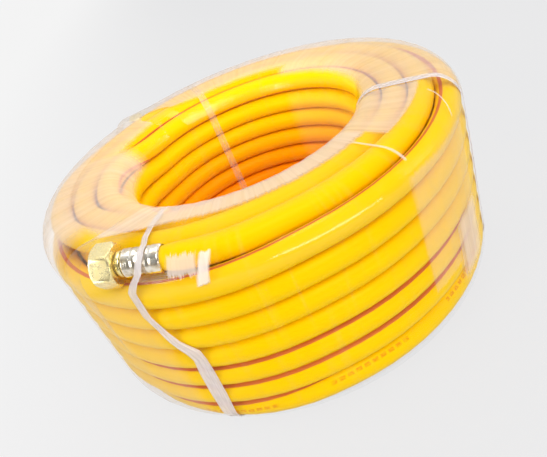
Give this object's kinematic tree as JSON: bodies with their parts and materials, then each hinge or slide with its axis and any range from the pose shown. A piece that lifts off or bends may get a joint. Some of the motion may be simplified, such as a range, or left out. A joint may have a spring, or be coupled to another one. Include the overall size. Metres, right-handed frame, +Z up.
{
  "type": "coiled air hose",
  "caption": "Yellow PVC air hose wound in a flat-sided coil, a crimped fitting with a swivel nut on each end, held by ribbon ties and clear stretch film wound through the hole.",
  "frame": {"origin": "on the surface that the coil lies on, under the middle of the coil", "axes": "+Z up along the coil's axis, -Y towards the picture's near side, +X to its right"},
  "size_m": [0.277, 0.2777, 0.134],
  "materials": {
    "hose": "glossy yellow PVC, slightly translucent",
    "brass": "machined, pale",
    "ferrule": "plated and pressed",
    "spring_wire": "drawn wire",
    "washer": "moulded",
    "ribbon": "thin white film, folded lengthwise",
    "film": "clear stretch film"
  },
  "bodies": {
    "coil": {"hose_winding": "hose", "hose_core": "hose", "ferrule_a": "ferrule", "ferrule_b": "ferrule", "hose_tail_a": "brass", "hose_tail_b": "brass", "retaining_ring_a": "spring_wire", "retaining_ring_b": "spring_wire", "seal_washer_a": "washer", "seal_washer_b": "washer", "ribbon_tie_1": "ribbon", "ribbon_tie_2": "ribbon", "ribbon_tie_3": "ribbon", "film_wrap_01": "film", "film_wrap_02": "film", "film_wrap_03": "film", "film_wrap_04": "film", "film_wrap_05": "film", "film_wrap_06": "film", "film_wrap_07": "film", "film_wrap_08": "film", "film_wrap_09": "film", "film_wrap_10": "film", "film_wrap_11": "film", "film_wrap_12": "film"},
    "nut_a": {"swivel_nut_a": "brass"},
    "nut_b": {"swivel_nut_b": "brass"}
  },
  "joints": [
    {"name": "nut_a_swivel", "type": "hinge", "parent": "coil", "child": "nut_a", "pos_m": [-0.08189, -0.10179, 0.12032], "axis": [-0.9491, 0.296, 0.1079], "continuous": true},
    {"name": "nut_b_swivel", "type": "hinge", "parent": "coil", "child": "nut_b", "pos_m": [-0.07366, 0.12599, 0.10536], "axis": [-0.9988, -0.0236, -0.0424], "continuous": true}
  ]
}
